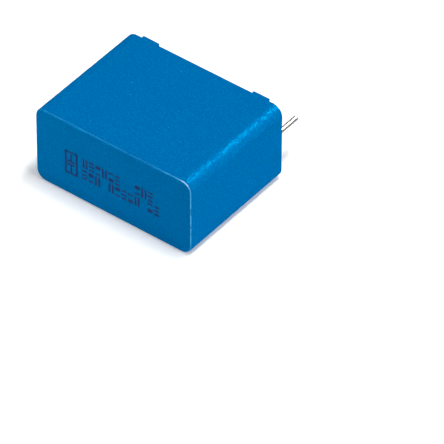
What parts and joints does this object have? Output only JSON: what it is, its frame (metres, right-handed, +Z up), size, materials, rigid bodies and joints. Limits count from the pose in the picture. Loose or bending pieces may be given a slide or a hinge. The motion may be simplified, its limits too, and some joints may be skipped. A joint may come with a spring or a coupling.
{
  "type": "box film capacitor",
  "caption": "Radial box film capacitor: a blue moulded case with rounded edges and low feet, sealed with resin, with straight tinned wire leads for a circuit board.",
  "frame": {"origin": "middle of the broad wall that the capacitor lies on", "axes": "+X along the length of the case, +Y from the closed end towards the leads, +Z up through the thickness"},
  "size_m": [0.0316, 0.0304, 0.015],
  "materials": {
    "case_plastic": "satin",
    "casting_resin": "satin",
    "metallized_film": "satin",
    "sprayed_zinc": "matte",
    "tinned_wire": "polished"
  },
  "bodies": {
    "root": {"case": "case_plastic", "resin_fill": "casting_resin", "film_winding": "metallized_film", "end_spray_left": "sprayed_zinc", "end_spray_right": "sprayed_zinc", "lead_left": "tinned_wire", "lead_right": "tinned_wire"}
  },
  "joints": []
}
